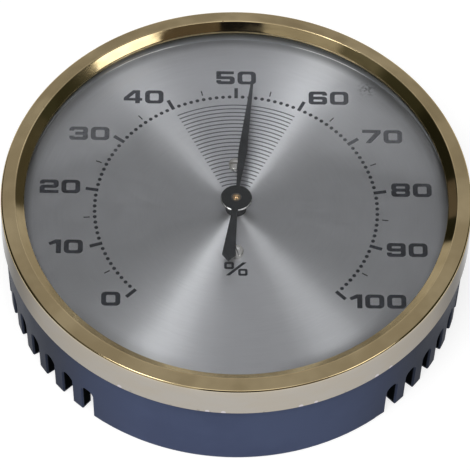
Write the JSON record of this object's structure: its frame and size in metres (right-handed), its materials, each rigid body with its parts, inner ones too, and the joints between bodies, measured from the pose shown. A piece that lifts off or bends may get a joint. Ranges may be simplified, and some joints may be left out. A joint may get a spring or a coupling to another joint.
{
  "type": "hair hygrometer",
  "caption": "Round hair hygrometer with a slotted moulded case, polished brass-coloured bezel, domed crystal, brushed dial from zero to one hundred percent and a black pointer.",
  "frame": {"origin": "middle of the rear rim's plane, which the case rests on", "axes": "+Z along the dial's normal towards the crystal, +Y towards 12 o'clock, +X towards 3 o'clock"},
  "size_m": [0.1024, 0.1024, 0.0287],
  "materials": {
    "case_plastic": "satin moulded, dark blue grey",
    "bezel_brass": "polished, pale gold",
    "crystal_glass": "clear, domed",
    "gasket_rubber": "matte",
    "spacer_plastic": "matte",
    "dial_aluminium": "circular brushed, printed",
    "nickel": "polished nickel",
    "movement_brass": "turned or stamped",
    "steel": "bright",
    "hair": "fine strands",
    "thread": "waxed",
    "pointer_black": "satin black",
    "cap_brass": "polished"
  },
  "bodies": {
    "root": {"rear_case": "case_plastic", "bezel": "bezel_brass", "crystal": "crystal_glass", "crystal_gasket": "gasket_rubber", "spacer_ring": "spacer_plastic", "dial": "dial_aluminium", "dial_screws": "nickel", "movement_frame": "movement_brass", "bridge_pillars": "movement_brass", "bearing_bridge": "movement_brass", "bridge_screws": "steel", "front_bush": "movement_brass", "rear_bush": "movement_brass", "hairspring": "steel", "hairspring_stud": "movement_brass", "hair_bundle": "hair", "hair_ferrules": "nickel", "link_threads": "thread", "roller_pin": "steel", "roller_clip": "steel", "friction_washer": "steel", "adjuster_bush": "movement_brass"},
    "pointer": {"pointer_shaft": "movement_brass", "hairspring_collet": "movement_brass", "shaft_winding": "thread", "pointer_boss": "pointer_black", "pointer_blade": "pointer_black", "pointer_cap": "cap_brass"},
    "guide_roller": {"guide_roller": "movement_brass"},
    "adjuster": {"adjuster_peg": "movement_brass", "adjuster_winding": "thread"}
  },
  "joints": [
    {"name": "pointer_turn", "type": "hinge", "parent": "root", "child": "pointer", "pos_m": [0, 0, 0.02], "axis": [0, 0, 1], "range_deg": [-128.79, 141.21]},
    {"name": "roller_turn", "type": "hinge", "parent": "root", "child": "guide_roller", "pos_m": [0.033, 0.00249, 0.01682], "axis": [0, 0, 1], "range_deg": [-22, 24.1]},
    {"name": "adjuster_turn", "type": "hinge", "parent": "root", "child": "adjuster", "pos_m": [-0.033, 0.00453, 0.01682], "axis": [0, 0, 1], "range_deg": [-45, 45]}
  ],
  "couplings": [
    {"joint": "roller_turn", "follows": "pointer_turn", "ratio": 0.17}
  ]
}
